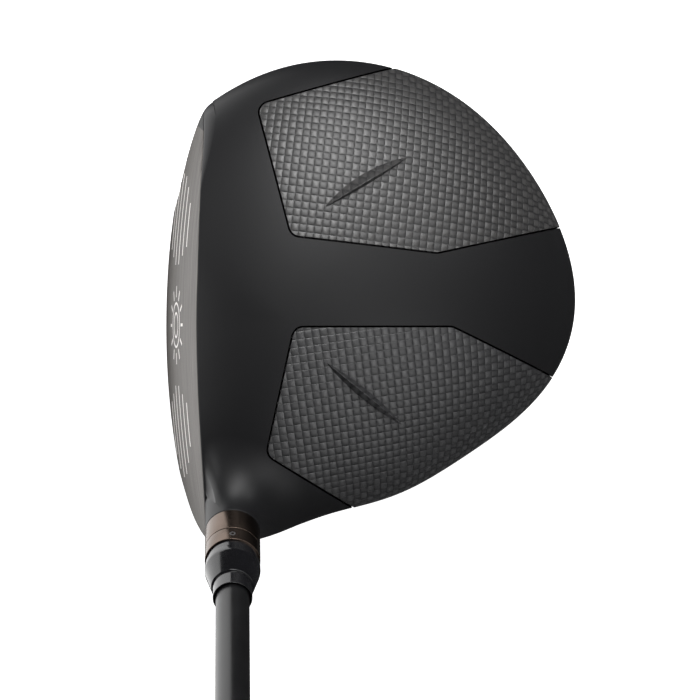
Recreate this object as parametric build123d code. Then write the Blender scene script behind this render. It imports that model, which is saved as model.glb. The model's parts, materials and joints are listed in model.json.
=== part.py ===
from build123d import *
import math
import os

import numpy as np

# A right-handed golf driver, standing soled at address. Millimetres, +Z up.
# The origin is the lowest point of the sole. -Y is where the face looks, -X is the toe, +X the heel.

# ---- driving dimensions ----
CLUB_LENGTH = 1156.0        # 45.5 inch from the ground to the end of the grip, along the shaft
LIE = 59.0                  # shaft to ground, degrees
SHAFT_FOOT = (17.3, -16.0)  # where the shaft's centre line meets the ground

CROWN_HEIGHT = 62.5
# The rim of the head on evenly spaced rays from the origin, the first along +X, turning towards +Y.
RIM_RADIUS = [53.0, 51.0, 55.0, 64.5, 75.0, 75.7, 74.7, 73.0, 68.6, 62.0, 57.5, 52.5, 49.0, 51.5, 57.5, 61.0]
RIM_HEIGHT = [43.0, 40.0, 35.5, 30.5, 27.0, 29.5, 33.0, 37.0, 38.0, 37.0, 34.5, 33.0, 33.0, 34.0, 36.5, 40.5]
CROWN_FULLNESS = 1.55       # exponent of the crown's superellipse: 1 is a cone, 2 an ellipse
SOLE_FLATNESS = 2.0         # exponents of the sole's superellipse
SOLE_FULLNESS = 1.6
LEADING_ANGLE = 272.0       # the sole is flattest towards the leading edge, by these amounts
LEADING_FLATNESS = 1.2
LEADING_FULLNESS = 0.4
CAP_LATITUDE = 84           # the crown and the sole end in small flat caps above this latitude
RING_STEP = 6
RING_POINTS = 24

FACE_CENTRE = (0.0, -31.0, 31.0)
LOFT = 9.5
FACE_ROLL_RADIUS = 290.0
FACE_THICKNESS = 3.0
WELD_GAP = 0.02
NECK_DEPTH = 0.3            # the hosel's root stays this far behind the face
SHELL = 1.2

PANEL_SKIN = 1.0
PANEL_GAP = 0.25            # dark joint all round a crown panel
PANEL_CORNER = 3.0
LEDGE_GAP = 0.1
LEDGE_SKIN = 0.8
LEDGE_WIDTH = 5.0
PARTING_HEIGHT = 18.0       # height of a panel's lower edge at the trailing edge
PARTING_Y = 76.0
PARTING_SLOPE = 0.2         # it climbs this much per millimetre towards the face
FAR_Y = 88.0                # panel outlines run out past the rim to here
TOE_PANEL = [(-57.4, -9.8), (-22.8, -1.0), (-18.5, 37.0), (-29.8, FAR_Y), (-85.6, FAR_Y)]
HEEL_PANEL = [(0.6, -0.2), (0.5, 41.0), (22.7, FAR_Y), (93.0, FAR_Y), (33.8, -7.4)]
TOE_RIB = [(-30.4, 8.0), (-43.4, 29.4)]
HEEL_RIB = [(9.9, 8.4), (24.4, 27.2)]
RIB_WIDTH = 2.4
RIB_HEIGHT = 1.3

# Distances along the shaft's centre line from the ground.
PORT_RADIUS = 4.8
RETAINER_LOW = 8.0
RETAINER_HIGH = 10.0
BOLT_TRAVEL = 8.0
BOLT_HEAD_LOW = 18.5
BOLT_HEAD_HIGH = 23.5
WASHER_THICKNESS = 1.0
SEAT_HIGH = 28.0
SLEEVE_LOW = 38.0
BOLT_TIP = 46.0
SLEEVE_THREAD_HIGH = 50.0
SHAFT_LOW = 53.0
HOSEL_RIM = 70.5
SLEEVE_BAND_LOW = 78.8
FERRULE_LOW = 83.8
FERRULE_HIGH = 100.1

HOSEL_RADIUS = 7.1
HOSEL_ROOT_RADIUS = 9.0
HOSEL_ROOT = 50.0
HOSEL_BORE = 6.0
SLEEVE_RADIUS = 5.9
TIP_RADIUS = 4.25
BOLT_RADIUS = 2.5
BOLT_HEAD_RADIUS = 4.1
RUNNING_FIT = 0.08

BUTT_RADIUS = 7.62
TIP_STRAIGHT = 90.0
TIP_WALL = 1.4
BUTT_WALL = 0.8
GRIP_LENGTH = 267.0
GRIP_LOW_RADIUS = 9.8
GRIP_BUTT_RADIUS = 13.2
TAPE_THICKNESS = 0.3
CAP_THICKNESS = 5.0
CAP_RADIUS = 14.0
VENT_RADIUS = 1.5

WEIGHT_RADIUS = 8.5
WEIGHT_FLANGE = 3.2
WEIGHT_THREAD_RADIUS = 6.0
WEIGHT_THREAD_LENGTH = 6.5
WEIGHT_RING = 0.8           # thickness of the nylon ring under a weight's flange
WEIGHT_SUNK = 0.5           # a weight's face lies this far inside the sole
BOSS_RADIUS = 10.6
BOSS_FLOOR = 1.5
WEIGHT_SPOTS = {"toe": (-44.0, 6.0), "heel": (36.0, 18.0), "rear": (-6.0, 55.0)}

SHAFT_DIRECTION = Vector(math.cos(math.radians(LIE)), 0, math.sin(math.radians(LIE)))
GROUND_POINT = Vector(SHAFT_FOOT[0], SHAFT_FOOT[1], 0)
SHAFT_AXIS = Axis(GROUND_POINT, SHAFT_DIRECTION)
ROOM = 300.0                # half the side of the boxes that only trim


# ---- helpers ----
def around(values, angles):
    """Smooth closed curve through evenly spaced values, as a short Fourier series."""
    count = len(values)
    waves = np.fft.rfft(values) / count
    result = np.full(len(angles), waves[0].real)
    for order in range(1, len(waves)):
        doubled = 2 if 2 * order < count else 1
        result += doubled * (waves[order] * np.exp(1j * order * angles)).real
    return result


def towards(angles, centre, sharpness):
    """One at the centre angle, falling smoothly to zero on the far side."""
    return ((1 + np.cos(angles - math.radians(centre))) / 2) ** sharpness


def sole_exponents(angles):
    flatness = SOLE_FLATNESS + LEADING_FLATNESS * towards(angles, LEADING_ANGLE, 6)
    fullness = SOLE_FULLNESS + LEADING_FULLNESS * towards(angles, LEADING_ANGLE, 4)
    return flatness, fullness


def head_ring(latitude, inset):
    """Points of one closed ring of the head: 0 degrees is the rim, +90 the crown's top, -90 the sole."""
    angles = np.arange(RING_POINTS) * 2 * math.pi / RING_POINTS
    radius = around(RIM_RADIUS, angles) - inset
    rim = around(RIM_HEIGHT, angles)
    rise = abs(math.sin(math.radians(latitude)))
    reach = math.cos(math.radians(latitude))
    if latitude >= 0:
        radius = radius * reach
        height = rim + (CROWN_HEIGHT - inset - rim) * rise ** (2 / CROWN_FULLNESS)
    else:
        flatness, fullness = sole_exponents(angles)
        radius = radius * reach ** (2 / flatness)
        height = rim + (inset - rim) * rise ** (2 / fullness)
    if abs(latitude) == CAP_LATITUDE:
        height[:] = CROWN_HEIGHT - inset if latitude > 0 else inset
    return np.stack([radius * np.cos(angles), radius * np.sin(angles), height], axis=1)


def head_form(inset):
    """The whole head as a smooth solid, shrunk inwards by the inset, before the face is cut."""
    wires = []
    for latitude in range(CAP_LATITUDE, -CAP_LATITUDE - 1, -RING_STEP):
        points = [Vector(*point) for point in head_ring(latitude, inset).tolist()]
        wires.append(Wire([Spline(*points, periodic=True)]))
    return Solid.make_loft(wires)


def sole_height(x, y):
    angle = np.array([math.atan2(y, x)])
    flatness, fullness = sole_exponents(angle)
    reach = math.hypot(x, y) / around(RIM_RADIUS, angle)[0]
    rim = around(RIM_HEIGHT, angle)[0]
    return rim * (1 - (1 - reach ** flatness[0]) ** (1 / fullness[0]))


def sole_frame(x, y):
    """Place on the sole whose local Z points straight into the head."""
    step = 0.5
    slope_x = (sole_height(x + step, y) - sole_height(x - step, y)) / (2 * step)
    slope_y = (sole_height(x, y + step) - sole_height(x, y - step)) / (2 * step)
    inward = Vector(-slope_x, -slope_y, 1).normalized()
    return Plane(origin=(x, y, sole_height(x, y)), x_dir=(1, 0, slope_x), z_dir=inward)


def turned(points):
    """Solid of revolution about the shaft's centre line from (radius, distance) corners."""
    side = Plane(origin=GROUND_POINT, x_dir=(0, 1, 0), z_dir=Vector(0, 1, 0).cross(SHAFT_DIRECTION))
    outline = side * make_face(Polyline(*points, close=True))
    return revolve(outline, SHAFT_AXIS)


def rod(radius, low, high):
    return turned([(0, low), (radius, low), (radius, high), (0, high)])


def ring(inner, outer, low, high):
    return turned([(inner, low), (outer, low), (outer, high), (inner, high)])


def face_sphere(depth):
    """Solid ball whose front is the face's bulge and roll, the given depth behind the face."""
    tilt = math.radians(LOFT)
    back = Vector(0, math.cos(tilt), -math.sin(tilt)) * FACE_ROLL_RADIUS
    return Pos(Vector(*FACE_CENTRE) + back) * Sphere(FACE_ROLL_RADIUS - depth)


def panel_column(outline, grow):
    """Vertical column over a panel's plan outline, with rounded inner corners."""
    plan = make_face(Polyline(*outline, close=True))
    near = [corner for corner in plan.vertices() if corner.Y < FAR_Y - 1]
    plan = fillet(near, PANEL_CORNER)
    if grow:
        plan = offset(plan, grow)
    return extrude(plan, CROWN_HEIGHT + 20)


def above_parting(drop):
    """Everything above the sloping plane where the crown panels end on the skirt."""
    tilt = math.atan(PARTING_SLOPE)
    plane = Plane(origin=(0, PARTING_Y, PARTING_HEIGHT - drop), x_dir=(1, 0, 0),
                  z_dir=(0, math.sin(tilt), math.cos(tilt)))
    return plane * Pos(0, 0, ROOM / 2) * Box(2 * ROOM, 2 * ROOM, ROOM)


# ---- head ----
def rib(ends, raised, skin):
    """A lens-shaped fin standing on a crown panel, from one end to the other."""
    start, end = Vector(*ends[0]), Vector(*ends[1])
    along = end - start
    across = Vector(-along.Y, along.X).normalized() * (RIB_WIDTH / 2)
    middle = start + along * 0.5
    lens = make_face([ThreePointArc(start, middle + across, end), ThreePointArc(end, middle - across, start)])
    column = extrude(lens, CROWN_HEIGHT + 20) & above_parting(0)
    return (column & raised) - skin


def crown_panel(outline, rib_ends, outer, inner, raised):
    panel = ((outer - inner) & panel_column(outline, 0)) & above_parting(0)
    return panel + rib(rib_ends, raised, inner)


def weight_boss(x, y):
    """Blind threaded boss for one sole weight, and the hollow to cut from it."""
    place = sole_frame(x, y)
    deep = WEIGHT_SUNK + WEIGHT_FLANGE + WEIGHT_RING
    floor = deep + WEIGHT_THREAD_LENGTH + 0.5
    boss = place * Pos(0, 0, (floor + BOSS_FLOOR) / 2) * Cylinder(BOSS_RADIUS, floor + BOSS_FLOOR + 2)
    mouth = place * Pos(0, 0, deep / 2 - 5) * Cylinder(WEIGHT_RADIUS + 0.15, deep + 10)
    thread = place * Pos(0, 0, floor / 2) * Cylinder(WEIGHT_THREAD_RADIUS + RUNNING_FIT, floor)
    return boss, mouth + thread


def sole_weight(x, y):
    """A round weight with a flange, a threaded stem and a six-lobed socket."""
    place = sole_frame(x, y)
    flange_top = WEIGHT_SUNK + WEIGHT_FLANGE
    flange = Pos(0, 0, WEIGHT_SUNK + WEIGHT_FLANGE / 2) * Cylinder(WEIGHT_RADIUS, WEIGHT_FLANGE)
    stem_length = WEIGHT_RING + WEIGHT_THREAD_LENGTH
    stem = Pos(0, 0, flange_top + stem_length / 2) * Cylinder(WEIGHT_THREAD_RADIUS, stem_length)
    socket = Pos(0, 0, WEIGHT_SUNK) * extrude(six_lobes(2.6), 4)
    return place * ((flange + stem) - socket)


def weight_ring(x, y):
    place = sole_frame(x, y)
    bottom = WEIGHT_SUNK + WEIGHT_FLANGE
    outer = Cylinder(WEIGHT_RADIUS - 0.3, WEIGHT_RING)
    hole = Cylinder(WEIGHT_THREAD_RADIUS + RUNNING_FIT, 2 * WEIGHT_RING)
    return place * Pos(0, 0, bottom + WEIGHT_RING / 2) * (outer - hole)


def six_lobes(radius):
    """Plan of a six-lobed wrench socket: a round core with six small rounds on it."""
    plan = Circle(radius * 0.82)
    for turn in range(6):
        angle = math.radians(60 * turn)
        plan += Pos(radius * 0.8 * math.cos(angle), radius * 0.8 * math.sin(angle)) * Circle(radius * 0.2)
    return plan


def hosel_neck(grow):
    """Neck with a flared root, which also closes the heel end of the face."""
    root = HOSEL_ROOT - 12
    return turned([(0, root), (HOSEL_ROOT_RADIUS + grow, root), (HOSEL_ROOT_RADIUS + grow, HOSEL_ROOT),
                   (HOSEL_RADIUS + grow, HOSEL_RIM - 4), (HOSEL_RADIUS + grow, HOSEL_RIM), (0, HOSEL_RIM)])


def hosel_hollow():
    """Sleeve bore from above, bolt hole through the seat, and the wrench port from below."""
    bore = rod(HOSEL_BORE, SEAT_HIGH, HOSEL_RIM + 5)
    bolt_hole = rod(BOLT_RADIUS + 0.4, 0, SEAT_HIGH + 1)
    port = rod(PORT_RADIUS, -10, BOLT_HEAD_HIGH + WASHER_THICKNESS)
    return bore + bolt_hole + port


def body_shell(outer, inner, ledge_outer, ledge_inner):
    """Titanium body: sole, skirt, centre beam, hosel, weight bosses and the panels' ledges."""
    shell = outer - inner
    ledge = ledge_outer - ledge_inner
    for outline in (TOE_PANEL, HEEL_PANEL):
        shell -= panel_column(outline, PANEL_GAP) & above_parting(PANEL_GAP)
        window = panel_column(outline, PANEL_GAP + 1) & above_parting(PANEL_GAP + 1)
        opening = panel_column(outline, -LEDGE_WIDTH) & above_parting(-LEDGE_WIDTH)
        shell += (ledge & window) - opening
    body = shell & face_sphere(FACE_THICKNESS + WELD_GAP)
    body += (rod(HOSEL_RADIUS, 0, HOSEL_ROOT) & outer) & face_sphere(FACE_THICKNESS + WELD_GAP)
    body += hosel_neck(0) & face_sphere(NECK_DEPTH)
    hollow = hosel_hollow()
    for spot in WEIGHT_SPOTS.values():
        boss, bore = weight_boss(*spot)
        body += boss & outer
        hollow += bore
    return body - hollow


def face_plate(outer):
    plate = (outer & face_sphere(0)) - face_sphere(FACE_THICKNESS)
    return plate - hosel_neck(WELD_GAP)


# ---- hosel stack ----
def hosel_bolt():
    head = rod(BOLT_HEAD_RADIUS, BOLT_HEAD_LOW, BOLT_HEAD_HIGH)
    shank = rod(BOLT_RADIUS, BOLT_HEAD_HIGH, BOLT_TIP)
    low_end = Plane(origin=GROUND_POINT + SHAFT_DIRECTION * BOLT_HEAD_LOW, x_dir=(0, 1, 0), z_dir=SHAFT_DIRECTION)
    return head + shank - low_end * extrude(six_lobes(2.4), 3)


def bolt_washer():
    return ring(BOLT_RADIUS + RUNNING_FIT, BOLT_HEAD_RADIUS, BOLT_HEAD_HIGH, BOLT_HEAD_HIGH + WASHER_THICKNESS)


def bolt_retainer():
    """Ring pressed into the port, so that the loosened bolt stays in the head."""
    return ring(3.3, PORT_RADIUS, RETAINER_LOW, RETAINER_HIGH)


def sleeve():
    """Adapter glued on the shaft's tip: barrel in the hosel, band above it, bolt thread below."""
    return turned([
        (BOLT_RADIUS + RUNNING_FIT, SLEEVE_LOW), (SLEEVE_RADIUS, SLEEVE_LOW), (SLEEVE_RADIUS, SLEEVE_BAND_LOW),
        (HOSEL_RADIUS, SLEEVE_BAND_LOW), (HOSEL_RADIUS, FERRULE_LOW), (TIP_RADIUS, FERRULE_LOW),
        (TIP_RADIUS, SHAFT_LOW - 2), (BOLT_RADIUS + RUNNING_FIT, SLEEVE_THREAD_HIGH)])


def setting_ring():
    return ring(SLEEVE_RADIUS + RUNNING_FIT, HOSEL_RADIUS, HOSEL_RIM + 0.1, SLEEVE_BAND_LOW - 0.1)


def ferrule():
    """Black trim cone from the sleeve to the shaft, with an open cup at its upper end."""
    return turned([
        (TIP_RADIUS, FERRULE_LOW), (6.7, FERRULE_LOW), (6.7, 86.2), (HOSEL_RADIUS, 86.4), (HOSEL_RADIUS, 88.2),
        (5.4, 95.2), (5.1, 96.0), (5.1, FERRULE_HIGH), (4.8, FERRULE_HIGH), (4.8, FERRULE_HIGH - 2.5),
        (TIP_RADIUS, FERRULE_HIGH - 2.5)])


# ---- shaft and grip ----
def shaft():
    low, high = SHAFT_LOW, CLUB_LENGTH - CAP_THICKNESS
    straight = SHAFT_LOW + TIP_STRAIGHT
    return turned([
        (TIP_RADIUS, low), (TIP_RADIUS, straight), (BUTT_RADIUS, high),
        (BUTT_RADIUS - BUTT_WALL, high), (TIP_RADIUS - TIP_WALL, straight), (TIP_RADIUS - TIP_WALL, low)])


def shaft_tip_plug():
    return rod(TIP_RADIUS - TIP_WALL, SHAFT_LOW, SHAFT_LOW + 12)


def shaft_radius(distance):
    straight = SHAFT_LOW + TIP_STRAIGHT
    share = (distance - straight) / (CLUB_LENGTH - CAP_THICKNESS - straight)
    return TIP_RADIUS + (BUTT_RADIUS - TIP_RADIUS) * share


def grip_tape():
    low, high = CLUB_LENGTH - GRIP_LENGTH + 10, CLUB_LENGTH - CAP_THICKNESS
    return turned([
        (shaft_radius(low), low), (shaft_radius(low) + TAPE_THICKNESS, low),
        (shaft_radius(high) + TAPE_THICKNESS, high), (shaft_radius(high), high)])


def grip():
    """Rubber grip, tapering from the butt, with a thick rounded lower lip."""
    low, taped, high = CLUB_LENGTH - GRIP_LENGTH, CLUB_LENGTH - GRIP_LENGTH + 10, CLUB_LENGTH - CAP_THICKNESS
    return turned([
        (shaft_radius(low), low), (GRIP_LOW_RADIUS - 0.8, low), (GRIP_LOW_RADIUS, low + 2),
        (GRIP_BUTT_RADIUS, high), (shaft_radius(high) + TAPE_THICKNESS, high),
        (shaft_radius(taped) + TAPE_THICKNESS, taped), (shaft_radius(taped), taped)])


def grip_cap():
    """Butt cap with the small vent hole through its middle."""
    low, high = CLUB_LENGTH - CAP_THICKNESS, CLUB_LENGTH
    return turned([
        (VENT_RADIUS, low), (GRIP_BUTT_RADIUS, low), (CAP_RADIUS, low + 1.2), (CAP_RADIUS, high - 2.4),
        (CAP_RADIUS - 1.8, high - 0.7), (CAP_RADIUS - 4.5, high), (VENT_RADIUS, high)])


# ---- build and write ----
def main():
    os.makedirs("parts", exist_ok=True)
    outer = head_form(0)
    inner = head_form(SHELL)
    panel_inner = head_form(PANEL_SKIN)
    ledge_outer = head_form(PANEL_SKIN + LEDGE_GAP)
    ledge_inner = head_form(PANEL_SKIN + LEDGE_GAP + LEDGE_SKIN)
    raised = head_form(-RIB_HEIGHT)

    nodes = {
        "body_shell": body_shell(outer, inner, ledge_outer, ledge_inner),
        "face_plate": face_plate(outer),
        "crown_panel_toe": crown_panel(TOE_PANEL, TOE_RIB, outer, panel_inner, raised),
        "crown_panel_heel": crown_panel(HEEL_PANEL, HEEL_RIB, outer, panel_inner, raised),
        "hosel_bolt": hosel_bolt(),
        "bolt_washer": bolt_washer(),
        "bolt_retainer": bolt_retainer(),
        "sleeve": sleeve(),
        "setting_ring": setting_ring(),
        "ferrule": ferrule(),
        "shaft": shaft(),
        "shaft_tip_plug": shaft_tip_plug(),
        "grip": grip(),
        "grip_tape": grip_tape(),
        "grip_cap": grip_cap(),
    }
    for name, spot in WEIGHT_SPOTS.items():
        nodes["weight_" + name] = sole_weight(*spot)
        nodes["weight_ring_" + name] = weight_ring(*spot)
    for name, solid in nodes.items():
        export_step(solid, "parts/" + name + ".step")


main()
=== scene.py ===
import json
import math

import bpy
import numpy as np
from mathutils import Matrix, Vector


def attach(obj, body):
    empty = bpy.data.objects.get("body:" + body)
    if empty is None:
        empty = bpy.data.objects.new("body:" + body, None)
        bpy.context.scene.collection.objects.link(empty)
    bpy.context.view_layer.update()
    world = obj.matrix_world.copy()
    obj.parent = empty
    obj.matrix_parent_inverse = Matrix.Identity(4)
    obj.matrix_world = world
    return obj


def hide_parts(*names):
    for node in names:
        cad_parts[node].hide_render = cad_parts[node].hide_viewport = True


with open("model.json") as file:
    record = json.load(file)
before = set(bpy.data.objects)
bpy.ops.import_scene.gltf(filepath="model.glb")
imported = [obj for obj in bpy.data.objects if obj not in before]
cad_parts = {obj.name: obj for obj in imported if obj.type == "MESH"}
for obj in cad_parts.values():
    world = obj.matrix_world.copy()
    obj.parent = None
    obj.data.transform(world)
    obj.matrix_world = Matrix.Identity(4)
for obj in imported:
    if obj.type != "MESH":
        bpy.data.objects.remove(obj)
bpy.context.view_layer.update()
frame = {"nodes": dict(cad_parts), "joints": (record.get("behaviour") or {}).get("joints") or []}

# Shapes are worked out in millimetres, in the frame's axes, and scaled to metres as they enter a mesh.
MM = 0.001

# ---- the shaft's line, from the joints ----
joints = {joint["name"]: joint for joint in frame["joints"]}
UP_SHAFT = -np.array(joints["head_release"]["axis"], float)
RING_PLACE = np.array(joints["ring_index"]["pos_m"], float) / MM
GROUND_POINT = RING_PLACE - UP_SHAFT * (RING_PLACE[2] / UP_SHAFT[2])
SIDEWAYS = np.array([0.0, 1.0, 0.0])
DOWNHILL = np.cross(SIDEWAYS, UP_SHAFT)
CLUB_LENGTH = 1156.0

# ---- the head's form ----
CROWN_HEIGHT = 62.5
RIM_RADIUS = [53.0, 51.0, 55.0, 64.5, 75.0, 75.7, 74.7, 73.0, 68.6, 62.0, 57.5, 52.5, 49.0, 51.5, 57.5, 61.0]
RIM_HEIGHT = [43.0, 40.0, 35.5, 30.5, 27.0, 29.5, 33.0, 37.0, 38.0, 37.0, 34.5, 33.0, 33.0, 34.0, 36.5, 40.5]
CROWN_FULLNESS = 1.55
SOLE_FLATNESS = 2.0
SOLE_FULLNESS = 1.6
LEADING_ANGLE = 272.0
LEADING_FLATNESS = 1.2
LEADING_FULLNESS = 0.4

FACE_CENTRE = np.array([0.0, -31.0, 31.0])
LOFT = math.radians(9.5)
FACE_RADIUS = 290.0
FACE_NORMAL = np.array([0.0, -math.cos(LOFT), math.sin(LOFT)])
FACE_UP = np.array([0.0, math.sin(LOFT), math.cos(LOFT)])
FACE_BALL = FACE_CENTRE - FACE_NORMAL * FACE_RADIUS
FACE_ROUND = 1.0            # radius of the edge between face and crown
TOE_ROUND = 8.0             # how much that radius grows at the toe end
HEEL_ROUND = 3.0            # how much it grows at the heel end
FACE_TURNS = 480            # points round the face's edge
TOE_LINE = -53.0            # from the face's centre to where its metal ends at the toe
TOE_LINE_BOW = 0.012

FAR_Y = 88.0
TOE_PANEL = [(-57.4, -9.8), (-22.8, -1.0), (-18.5, 37.0), (-29.8, FAR_Y), (-85.6, FAR_Y)]
HEEL_PANEL = [(33.8, -7.4), (93.0, FAR_Y), (22.7, FAR_Y), (0.5, 41.0), (0.6, -0.2)]
PANEL_CORNER = 3.0
PANEL_GAP = 0.2
PANEL_PROUD = 0.08
PANEL_ROUND = 0.15
PARTING_HEIGHT = 18.0
PARTING_Y = 76.0
PARTING_SLOPE = 0.2
TOE_FIN = [(-30.4, 8.0), (-43.4, 29.4)]
HEEL_FIN = [(9.9, 8.2), (26.0, 28.0)]
TOW_WIDTH = 2.0
CLOTH_START = 100           # keeps the cloth's UV above zero

HOSEL_RADIUS = 7.1
HOSEL_BORE = 6.0
HOSEL_RIM = 70.5
FLARE_REACH = 13.0          # how far the crown's rise towards the hosel spreads
FLARE_LEAN = 0.22           # least slope towards the shaft that the rise starts from
FLARE_TOP = 69.6            # where along the shaft the rise would end
SEAM_SHARE = 0.4            # where in the edge's round the face's metal ends
PORT_RADIUS = 4.8
WEIGHT_POCKET = 8.65
RIM_TRIM = 0.4              # how far a hole's rounded rim reaches past the hole
BOLT_SHELF = 24.6           # underside of the shelf that the bolt's washer bears on
SLEEVE_SEAT = 28.2          # top of that shelf, the floor of the sleeve's bore

# ---- the stack on the hosel, by distance along the shaft's line ----
RING_LOW = 70.6
RING_HIGH = 78.68
SLEEVE_STEP = 78.8
FERRULE_BASE = 83.8
MARK_PLACE = 81.4
TIP_RADIUS = 4.25
TIP_END = 53.0
TAPER_START = 143.0
BUTT_RADIUS = 7.62
SHAFT_WALL = 0.8
CAP_THICKNESS = 5.0
GRIP_LENGTH = 267.0
GRIP_LOW_RADIUS = 9.8
GRIP_HIGH_RADIUS = 13.2


# ---- form functions ----
def unit(vectors):
    """Each vector divided by its length."""
    return vectors / np.maximum(np.linalg.norm(vectors, axis=-1, keepdims=True), 1e-12)


def smooth_step(low, high, value):
    """Zero below low, one above high, an S curve between."""
    share = np.clip((value - low) / (high - low), 0, 1)
    return share * share * (3 - 2 * share)


def around(values, angle):
    """Short Fourier series through evenly spaced values round the head."""
    count = len(values)
    waves = np.fft.rfft(values) / count
    result = np.full(np.shape(angle), waves[0].real)
    for order in range(1, len(waves)):
        doubled = 2 if 2 * order < count else 1
        result = result + doubled * (waves[order] * np.exp(1j * order * angle)).real
    return result


def sole_exponents(angle):
    """Exponents of the sole's superellipse, raised towards the leading edge by powers of (1 + cosine) / 2."""
    facing = (1 + np.cos(angle - math.radians(LEADING_ANGLE))) / 2
    return SOLE_FLATNESS + LEADING_FLATNESS * facing ** 6, SOLE_FULLNESS + LEADING_FULLNESS * facing ** 4


def head_skin(angle, latitude):
    """Superellipse from the crown's top over the rim to the sole, on a plan radius that follows the angle."""
    radius, rim = around(RIM_RADIUS, angle), around(RIM_HEIGHT, angle)
    rise, reach = np.abs(np.sin(latitude)), np.clip(np.cos(latitude), 0, 1)
    flatness, fullness = sole_exponents(angle)
    upper = latitude >= 0
    reach = np.where(upper, reach, reach ** (2 / flatness))
    height = np.where(upper, rim + (CROWN_HEIGHT - rim) * rise ** (2 / CROWN_FULLNESS),
                      rim - rim * rise ** (2 / fullness))
    return np.stack([radius * reach * np.cos(angle), radius * reach * np.sin(angle), height], -1)


def head_level(points):
    """The same superellipse as a level: below zero inside the head, above zero outside."""
    x, y, z = points[..., 0], points[..., 1], points[..., 2]
    angle = np.arctan2(y, x)
    reach = np.hypot(x, y) / around(RIM_RADIUS, angle)
    rim = around(RIM_HEIGHT, angle)
    flatness, fullness = sole_exponents(angle)
    above = np.clip((z - rim) / (CROWN_HEIGHT - rim), 0, None)
    below = np.clip((rim - z) / rim, 0, None)
    return np.where(z >= rim, reach ** 2 + above ** CROWN_FULLNESS, reach ** flatness + below ** fullness) - 1


def slope_of(field, points, step=0.02):
    """Gradient of a field by central differences."""
    columns = []
    for direction in np.eye(3):
        columns.append((field(points + direction * step) - field(points - direction * step)) / (2 * step))
    return np.stack(columns, -1)


def crown_at(x, y):
    """Height of the crown over a plan point."""
    angle = np.arctan2(y, x)
    reach = np.clip(np.hypot(x, y) / around(RIM_RADIUS, angle), 0, 1)
    rim = around(RIM_HEIGHT, angle)
    return rim + (CROWN_HEIGHT - rim) * (1 - reach ** 2) ** (1 / CROWN_FULLNESS)


def from_shaft_line(points):
    """Distance of each point from the shaft's centre line."""
    offset = points - GROUND_POINT
    along = offset @ UP_SHAFT
    return np.linalg.norm(offset - along[..., None] * UP_SHAFT, axis=-1)


def beside_shaft(turn, radius, along):
    """Point at an angle and a distance from the shaft's line, some way along it."""
    spoke = np.cos(turn)[..., None] * DOWNHILL + np.sin(turn)[..., None] * SIDEWAYS
    return GROUND_POINT + radius[..., None] * spoke + along[..., None] * UP_SHAFT


def crown_by_shaft(turn, radius):
    """Last place along a line parallel to the shaft where it leaves the head; -1 where it misses."""
    turn, radius = np.broadcast_arrays(turn, radius)
    tries = np.linspace(20, 90, 71)
    inside = head_level(beside_shaft(turn[..., None], radius[..., None], np.broadcast_to(
        tries, turn.shape + (len(tries),)))) < 0
    last = len(tries) - 1 - np.argmax(inside[..., ::-1], -1)
    low = tries[last]
    high = low + 1
    for _ in range(24):
        middle = (low + high) / 2
        within = head_level(beside_shaft(turn, radius, middle)) < 0
        low, high = np.where(within, middle, low), np.where(within, high, middle)
    return np.where(inside.any(-1), low, -1.0)


def flare_edge(turn):
    """How far from the shaft's line the hosel's flare starts: as far as the crown still leans towards the shaft."""
    radii = np.arange(HOSEL_RADIUS, HOSEL_RADIUS + FLARE_REACH, 0.2)
    along = crown_by_shaft(turn[:, None], radii[None])
    points = beside_shaft(np.broadcast_to(turn[:, None], along.shape), np.broadcast_to(radii, along.shape), along)
    leaning = unit(slope_of(head_level, points)) @ UP_SHAFT
    kept = np.cumprod((along > 0) & (leaning > FLARE_LEAN) & (behind_face(points) > 0.4), axis=1).sum(1)
    reach = radii[np.clip(kept - 1, 4, None)]
    around_it = np.concatenate([reach[-12:], reach, reach[:12]])
    return np.convolve(around_it, np.hanning(27)[1:-1] / np.hanning(27).sum(), "same")[12:-12]


def behind_face(points):
    """Depth of each point behind the bulged face."""
    return FACE_RADIUS - np.linalg.norm(points - FACE_BALL, axis=-1)


def edge_radius(points):
    """Radius of the face's edge: tight along the crown and the sole, wide at the toe and the heel ends."""
    offset = points - FACE_CENTRE
    toward_heel = offset[..., 0] / np.maximum(np.hypot(offset[..., 0], offset @ FACE_UP), 1e-6)
    return FACE_ROUND + TOE_ROUND * smooth_step(0.84, 1, -toward_heel) + HEEL_ROUND * smooth_step(0.94, 1, toward_heel)


def inside_plan(outline, points, grow=0.0):
    """Distance inside a convex plan outline with rounded corners; below zero outside it."""
    corners = np.array(outline, float)
    edges = np.roll(corners, -1, 0) - corners
    inward = unit(np.stack([-edges[:, 1], edges[:, 0]], 1))
    moved = corners + inward * PANEL_CORNER
    shrunk = []
    for index in range(len(corners)):
        before = index - 1
        matrix = np.stack([edges[before], -edges[index]], 1)
        share = np.linalg.solve(matrix, moved[index] - moved[before])
        shrunk.append(moved[before] + edges[before] * share[0])
    shrunk = np.array(shrunk)
    flat = points[..., :2]
    nearest = np.full(flat.shape[:-1], np.inf)
    inside = np.full(flat.shape[:-1], True)
    for index, start in enumerate(shrunk):
        edge = shrunk[(index + 1) % len(shrunk)] - start
        offset = flat - start
        share = np.clip(offset @ edge / (edge @ edge), 0, 1)
        nearest = np.minimum(nearest, np.linalg.norm(offset - share[..., None] * edge, axis=-1))
        inside &= offset @ inward[index] > 0
    return np.where(inside, nearest, -nearest) + PANEL_CORNER + grow


def above_parting(points, drop=0.0):
    """Height over the sloping line where the crown panels end on the skirt."""
    level = PARTING_HEIGHT - drop + (PARTING_Y - points[..., 1]) * PARTING_SLOPE
    return (points[..., 2] - level) / math.hypot(1, PARTING_SLOPE)


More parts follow.
